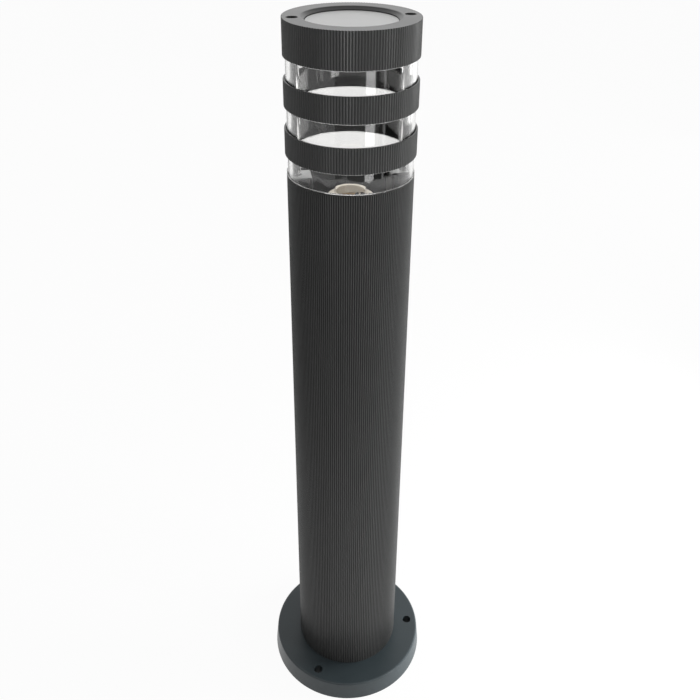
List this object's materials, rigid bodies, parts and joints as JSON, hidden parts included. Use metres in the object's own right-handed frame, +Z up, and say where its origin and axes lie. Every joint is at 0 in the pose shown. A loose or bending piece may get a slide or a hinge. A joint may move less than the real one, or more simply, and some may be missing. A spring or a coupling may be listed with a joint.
{
  "type": "garden post light",
  "caption": "Round garden post light: finely fluted column on a flanged foot, clear lens tube with louvre rings under a solid dished cap, porcelain lampholder inside.",
  "frame": {"origin": "centre of the foot, on the ground", "axes": "+Z up along the column; +X to the right and +Y away from the viewer, as in the picture"},
  "size_m": [0.185, 0.185, 0.8],
  "materials": {
    "charcoal_coat": "satin powder coat",
    "clear_polycarbonate": "clear, polished",
    "pale_aluminium": "matt",
    "porcelain": "opaque cream glaze",
    "brass": "drawn",
    "zinc_steel": "zinc plated",
    "black_steel": "black oxide",
    "tinned_copper": "tinned",
    "black_rubber": "matt",
    "white_nylon": "matt",
    "brown_insulation": "satin",
    "blue_insulation": "satin",
    "green_yellow_insulation": "satin"
  },
  "bodies": {
    "root": {"base_flange": "charcoal_coat", "base_screws": "zinc_steel", "base_washers": "zinc_steel", "cable_grommet": "black_rubber", "column_tube": "charcoal_coat", "lower_seal": "black_rubber", "lens_tube": "clear_polycarbonate", "lower_ring": "charcoal_coat", "upper_ring": "charcoal_coat", "upper_seal": "black_rubber", "cap": "charcoal_coat", "cap_disc": "pale_aluminium", "clamp_screws": "black_steel", "clamp_washers": "zinc_steel", "lampholder_bracket": "zinc_steel", "lampholder_body": "porcelain", "lampholder_shell": "brass", "lampholder_contact": "brass", "lampholder_terminals": "brass", "lampholder_terminal_screws": "zinc_steel", "lampholder_screws": "zinc_steel", "terminal_block": "white_nylon", "terminal_inserts": "brass", "terminal_screws": "zinc_steel", "terminal_fixing_screw": "zinc_steel", "live_lead": "brown_insulation", "neutral_lead": "blue_insulation", "earth_lead": "green_yellow_insulation", "earth_tag": "tinned_copper", "earth_washer": "zinc_steel", "earth_screw": "zinc_steel"}
  },
  "joints": []
}
